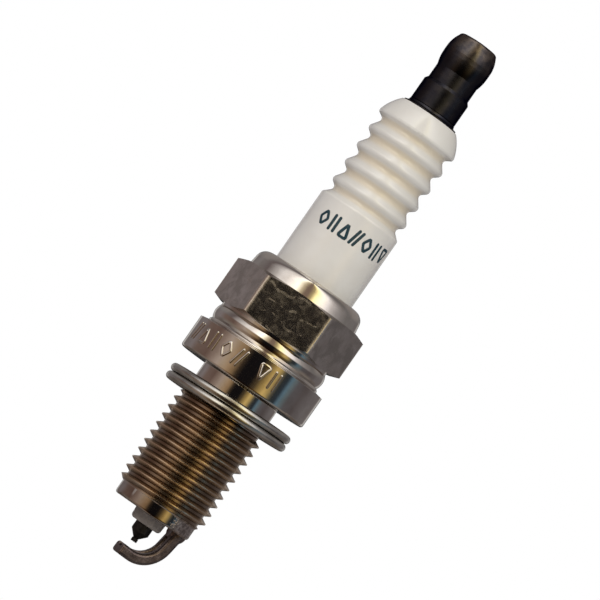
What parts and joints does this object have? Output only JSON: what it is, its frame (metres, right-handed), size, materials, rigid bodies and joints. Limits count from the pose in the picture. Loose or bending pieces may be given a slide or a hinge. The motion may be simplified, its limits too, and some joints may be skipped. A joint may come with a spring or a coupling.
{
  "type": "spark plug",
  "caption": "Motorcycle spark plug: ribbed white insulator, black terminal nut, hexagonal plated shell with a threaded end, loose crush gasket and a bent ground electrode.",
  "frame": {"origin": "on the plug's axis at the seat plane, the underside of the shell's flange", "axes": "+Z along the plug's axis towards the terminal; two opposite hexagon flats face -Y and +Y"},
  "size_m": [0.0184, 0.0176, 0.0755],
  "materials": {
    "nickel_plate": "bright nickel plate with light handling marks",
    "gasket_steel": "dull plated sheet steel",
    "electrode_alloy": "matt grey-brown nickel alloy",
    "glazed_alumina": "warm white glaze",
    "black_terminal": "blackened steel, satin",
    "dark_electrode": "near-black nickel alloy",
    "copper": "copper core",
    "seal_glass": "copper-filled sealing glass",
    "resistor_ceramic": "carbon-filled ceramic",
    "packing_steel": "soft steel",
    "talc": "packed talc powder"
  },
  "bodies": {
    "plug": {"shell": "nickel_plate", "ground_electrode": "electrode_alloy", "insulator": "glazed_alumina", "terminal_stud": "black_terminal", "centre_electrode": "dark_electrode", "electrode_tip": "dark_electrode", "centre_electrode_core": "copper", "glass_seal_lower": "seal_glass", "resistor": "resistor_ceramic", "glass_seal_upper": "seal_glass", "seat_packing": "packing_steel", "lower_packing_ring": "packing_steel", "talc_ring": "talc", "upper_packing_ring": "packing_steel"},
    "gasket": {"gasket": "gasket_steel"},
    "terminal_nut": {"terminal_nut": "black_terminal"}
  },
  "joints": [
    {"name": "gasket_slide", "type": "slide", "parent": "plug", "child": "gasket", "axis": [0, 0, 1], "range_m": [0, 0.0014]},
    {"name": "terminal_nut_removal", "type": "slide", "parent": "plug", "child": "terminal_nut", "axis": [0, 0, 1], "range_m": [0, 0.0095]}
  ]
}
